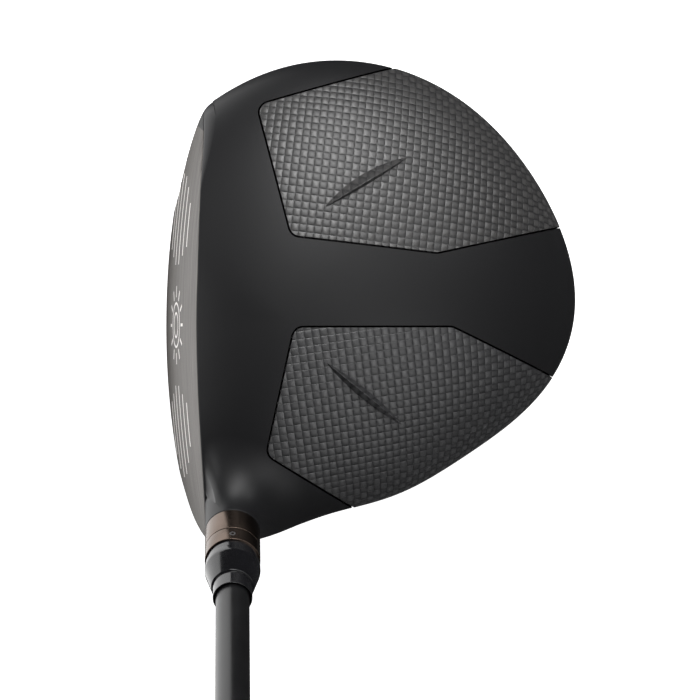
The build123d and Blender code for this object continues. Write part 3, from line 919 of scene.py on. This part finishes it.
def face_ribbon(x, up, width):
    """Thin raised ribbon along a line on the face."""
    path = np.stack([x, up], -1)
    heading = unit(np.gradient(path, axis=0))
    side = np.stack([-heading[:, 1], heading[:, 0]], -1)
    offsets = np.array([-0.5, -0.4, 0.4, 0.5]) * width
    lift = np.array([-0.02, 0.02, 0.02, -0.02])
    plan = path[:, None] + side[:, None] * offsets[None, :, None]
    points = on_face(plan[..., 0], plan[..., 1], np.broadcast_to(lift, plan.shape[:2]))
    skin = Skin.from_grid(points)
    skin.turn_over_if((skin.normals * FACE_NORMAL).sum() < 0)
    return skin


def build_face_marks():
    """Score lines in a toe and a heel group, and a plain ring of ticks between them."""
    marks = None
    for side in (-1, 1):
        for line in range(6):
            up = -14.0 + 5.2 * line
            inner = 15.0 + 2.2 * abs(line - 2.5)
            outer = 41.0 - 1.7 * abs(line - 2.2) ** 1.6
            x = side * np.linspace(inner, outer, 24)
            ribbon = face_ribbon(x, np.full(24, up), 1.0)
            if marks is None:
                marks = ribbon
            else:
                marks.join_skin(ribbon)
    for tick in range(12):
        angle = tick * math.pi / 6
        reach = np.linspace(7.4, 10.4, 4)
        marks.join_skin(face_ribbon(reach * math.cos(angle), reach * math.sin(angle), 0.9))
    for size in (3.2, 5.8):
        turn = np.linspace(0, 2 * math.pi, 64)
        marks.join_skin(face_ribbon(size * np.cos(turn), size * np.sin(turn), 0.7))
    finish_piece(marks.piece("face_marks"), "head", ETCHED, "face_metal")


# ---- hosel stack ----
def build_hosel_stack():
    ring = lathe("setting_ring_band", [
        (6.08, RING_LOW), (HOSEL_RADIUS, RING_LOW, 0.2), (HOSEL_RADIUS, RING_HIGH, 0.18),
        (6.08, RING_HIGH)], turns=128)
    finish_piece(ring, "setting_ring", BRONZE, "bronze", "setting_ring")
    sleeve = lathe("sleeve_barrel", [
        (2.58, 38), (5.9, 38, 0.4), (5.9, SLEEVE_STEP), (HOSEL_RADIUS, SLEEVE_STEP, 0.18),
        (HOSEL_RADIUS, FERRULE_BASE, 0.2), (TIP_RADIUS, FERRULE_BASE), (TIP_RADIUS, 51), (2.58, 50)], turns=128)
    finish_piece(sleeve, "club", BRONZE, "bronze", "sleeve")
    ferrule = lathe("ferrule_cone", [
        (TIP_RADIUS, FERRULE_BASE), (6.65, FERRULE_BASE + 0.02), (6.65, 86.2), (7.05, 86.35, 0.15),
        (7.1, 88.2, 0.5), (5.45, 95.2, 0.15),
        (5.0, 95.3, 0.05), (5.0, 100.1, 0.15), (4.75, 100.1, 0.05), (4.7, 97.6), (TIP_RADIUS, 97.6)], turns=128)
    finish_piece(ferrule, "club", FERRULE_BLACK, "ferrule_black", "ferrule")
    upper_side = unit(np.cross(np.cross(UP_SHAFT, [0, 0, 1.0]), UP_SHAFT))
    mark = lathe("index_mark", [(0.42, -0.05), (0.78, -0.05), (0.78, 0.03, 0.02), (0.42, 0.03, 0.02)],
                 origin=GROUND_POINT + UP_SHAFT * MARK_PLACE + upper_side * HOSEL_RADIUS, axis=upper_side, turns=32)
    finish_piece(mark, "club", WEIGHT_METAL, "bronze")


def build_shaft_and_grip():
    high = CLUB_LENGTH - CAP_THICKNESS
    stations = np.linspace(TAPER_START, high, 40)
    radii = TIP_RADIUS + (BUTT_RADIUS - TIP_RADIUS) * (stations - TAPER_START) / (high - TAPER_START)
    outer = [(TIP_RADIUS, TIP_END)] + list(zip(radii, stations))
    inner = [(radius - SHAFT_WALL, station) for radius, station in outer[::-1]]
    shaft = lathe("shaft_tube", outer + inner, turns=96)
    finish_piece(shaft, "club", SHAFT_BLACK, "shaft_black", "shaft")

    low = CLUB_LENGTH - GRIP_LENGTH
    stations = np.linspace(low + 3, high, 700)
    body = GRIP_LOW_RADIUS + (GRIP_HIGH_RADIUS - GRIP_LOW_RADIUS) * (stations - low - 2) / (high - low - 2)
    outer = [(8.6, low, 0.3), (9.5, low, 0.8)] + list(zip(body, stations)) + [
        (GRIP_HIGH_RADIUS, high), (8.0, high)]
    rubber_inner = [(6.85, low + 12), (6.75, low)]

    def tread(radius, distance, angle):
        """Shallow crossing grooves in the outer wall, faded out at both ends and on two plain bands."""
        first = np.cos(angle * 12 + distance * 0.9)
        second = np.cos(angle * 12 - distance * 0.9)
        groove = smooth_step(0.86, 1.0, np.maximum(first, second))
        shown = smooth_step(low + 14, low + 20, distance) * (1 - smooth_step(high - 16, high - 10, distance))
        band = 1 - smooth_step(0.94, 0.99, np.cos((distance - low) * 2 * math.pi / 88))
        outside = radius > 9.4
        return radius - 0.4 * groove * shown * band * outside

    grip = lathe("grip_sleeve", outer + rubber_inner, turns=144, shape=tread, sharp=60)
    finish_piece(grip, "club", RUBBER, "grip_rubber", "grip")
    cap = lathe("grip_butt_cap", [
        (1.5, high), (GRIP_HIGH_RADIUS, high), (14.0, high + 1.2, 0.5), (14.0, high + 2.8, 1.2),
        (11.6, CLUB_LENGTH - 0.4, 1.6),
        (9.0, CLUB_LENGTH, 0.4), (8.2, CLUB_LENGTH - 0.5, 0.3), (3.2, CLUB_LENGTH - 0.5, 0.3),
        (2.6, CLUB_LENGTH, 0.3), (1.5, CLUB_LENGTH, 0.2)], turns=128)
    finish_piece(cap, "club", RUBBER, "grip_rubber", "grip_cap")


# ---- screws ----
def threaded(low, high, pitch, depth):
    """Radius change for a helical thread between two distances."""
    def shape(radius, distance, angle):
        wave = np.abs(((distance / pitch - angle / (2 * math.pi)) % 1) * 2 - 1)
        shown = smooth_step(low, low + 0.5, distance) * (1 - smooth_step(high - 0.5, high, distance))
        return radius - depth * wave * shown
    return shape


def weight_shape(radius, distance, angle):
    """Six-lobed socket near the axis and a thread on the stem."""
    thread = threaded(4.6, 10.8, 1.0, 0.45)(radius, distance, angle)
    socket = radius * (1 + 0.13 * np.cos(6 * angle))
    return np.where(radius < 2.7, socket, thread)


def build_weights():
    for name in ("toe", "heel", "rear"):
        place, inward = sole_spot(name)
        stem = [(6.0, 4.2 + 0.1 * step) for step in range(64)]
        piece = lathe("weight_" + name + "_plug", [
            (0, 4.5), (2.3, 4.5), (2.3, 0.75, 0.1), (2.65, 0.5, 0.05), (5.6, 0.5, 0.1), (5.9, 0.7, 0.1),
            (6.3, 0.7, 0.1), (6.6, 0.5, 0.1), (8.5, 0.5, 0.4), (8.5, 3.7, 0.2), (6.0, 3.7)] + stem
            + [(5.4, 11.0), (0, 11.0)], origin=place, axis=inward, turns=96, shape=weight_shape)
        finish_piece(piece, "weight_" + name, WEIGHT_METAL, "weight_metal", "weight_" + name)


def build_bolt():
    shank = [(2.5, 25 + 0.1 * step) for step in range(205)]

    def shape(radius, distance, angle):
        threads = threaded(30.0, 45.6, 0.8, 0.35)(radius, distance, angle)
        socket = radius * (1 + 0.12 * np.cos(6 * angle))
        return np.where((distance < 22.5) & (radius < 2.6), socket, threads)

    bolt = lathe("hosel_bolt_screw", [
        (0, 21.6), (2.1, 21.6), (2.1, 18.7, 0.1), (2.4, 18.5, 0.05), (4.1, 18.5, 0.35), (4.1, 23.5, 0.15),
        (2.5, 23.5)] + shank + [(2.1, 46.0), (0, 46.0)], turns=72, shape=shape)
    finish_piece(bolt, "hosel_bolt", STEEL, "steel", "hosel_bolt")


def finish_cad_nodes():
    """CAD nodes whose shape is right keep it and get these finishes."""
    finishes = {"bolt_washer": STEEL, "bolt_retainer": NYLON, "shaft_tip_plug": NYLON, "grip_tape": TAPE,
                "weight_ring_toe": NYLON, "weight_ring_heel": NYLON, "weight_ring_rear": NYLON}
    for node, material in finishes.items():
        data = frame["nodes"][node].data
        data.materials.clear()
        data.materials.append(material)


# ---- stage ----
FLOOR_HALF = 4.0
CARD_X = (-0.35, 0.25)
CARD_Y = (-0.9, -0.045)
CARD_LIFT = 0.0003
CAMERA_PLACE = (0.0066, -0.016, 1.0)
CAMERA_TARGET = (0.0066, 0.01506, 0.035)
CAMERA_LENS = 187.6
LIGHT_DISTANCE = 1.3
LIGHT_SIZE = (0.6, 0.6)
LIGHT_TARGET = (0, 0.02, 0.04)
WORLD_STRENGTH = 0.03
# name, elevation and heading in degrees, power in watts
SOFT_BOXES = [("toe_key", 36, 180, 6.5), ("toe_back", 36, 135, 3.0), ("toe_high", 58, 170, 7.0),
              ("front_low", 30, 270, 3.0), ("front_toe", 36, 225, 0.8), ("heel_high", 62, 60, 2.6),
              ("heel_back", 36, 45, 1.4)]


def build_stage():
    """Pale floor under the club, and a white card beside the face that the metal can reflect."""
    mesh = bpy.data.meshes.new("floor")
    half = FLOOR_HALF
    mesh.from_pydata([(-half, -half, 0), (half, -half, 0), (half, half, 0), (-half, half, 0)], [], [(0, 1, 2, 3)])
    mesh.materials.append(pale_floor())
    floor = bpy.data.objects.new("floor", mesh)
    bpy.context.scene.collection.objects.link(floor)
    floor.visible_glossy = False
    mesh = bpy.data.meshes.new("white_card")
    (left, right), (far, near), lift = CARD_X, CARD_Y, CARD_LIFT
    mesh.from_pydata([(left, far, lift), (right, far, lift), (right, near, lift), (left, near, lift)], [],
                     [(0, 1, 2, 3)])
    mesh.materials.append(bpy.data.materials["pale_floor"])
    card = bpy.data.objects.new("white_card", mesh)
    bpy.context.scene.collection.objects.link(card)


def area_light(name, place, target, size, power):
    data = bpy.data.lights.new(name, "AREA")
    data.shape = "RECTANGLE"
    data.size, data.size_y = size
    data.energy = power
    lamp = bpy.data.objects.new(name, data)
    bpy.context.scene.collection.objects.link(lamp)
    aim(lamp, place, target)


def aim(thing, place, target, up=(0, 0, 1)):
    """Places a thing so that its own -Z looks at the target and its Y leans to the up direction."""
    back = (Vector(place) - Vector(target)).normalized()
    right = Vector(up).cross(back)
    if right.length < 1e-6:
        right = Vector((1, 0, 0))
    right.normalize()
    above = back.cross(right)
    turn = Matrix((right, above, back)).transposed().to_4x4()
    thing.matrix_world = Matrix.Translation(Vector(place)) @ turn


def build_camera():
    """Straight down on the soled head, with the toe at the top and the face to the left."""
    data = bpy.data.cameras.new("camera")
    data.sensor_width = 36.0
    data.lens = CAMERA_LENS
    data.clip_start, data.clip_end = 0.01, 20
    camera = bpy.data.objects.new("camera", data)
    bpy.context.scene.collection.objects.link(camera)
    aim(camera, CAMERA_PLACE, CAMERA_TARGET, up=(-1, 0, 0))
    bpy.context.scene.camera = camera


def build_light():
    """Faint even world light, and the soft boxes at one distance round the head."""
    world = bpy.data.worlds.new("studio")
    bpy.context.scene.world = world
    world.use_nodes = True
    world.node_tree.nodes["Background"].inputs["Color"].default_value = (1, 1, 1, 1)
    world.node_tree.nodes["Background"].inputs["Strength"].default_value = WORLD_STRENGTH
    for name, elevation, heading, power in SOFT_BOXES:
        flat = LIGHT_DISTANCE * math.cos(math.radians(elevation))
        place = (flat * math.cos(math.radians(heading)), flat * math.sin(math.radians(heading)),
                 LIGHT_DISTANCE * math.sin(math.radians(elevation)) + 0.05)
        area_light(name, place, LIGHT_TARGET, LIGHT_SIZE, power)
    bpy.context.scene.view_settings.view_transform = "Standard"


build_body()
build_panels()
build_face_marks()
build_hosel_stack()
build_shaft_and_grip()
build_weights()
build_bolt()
finish_cad_nodes()
build_stage()
build_camera()
build_light()
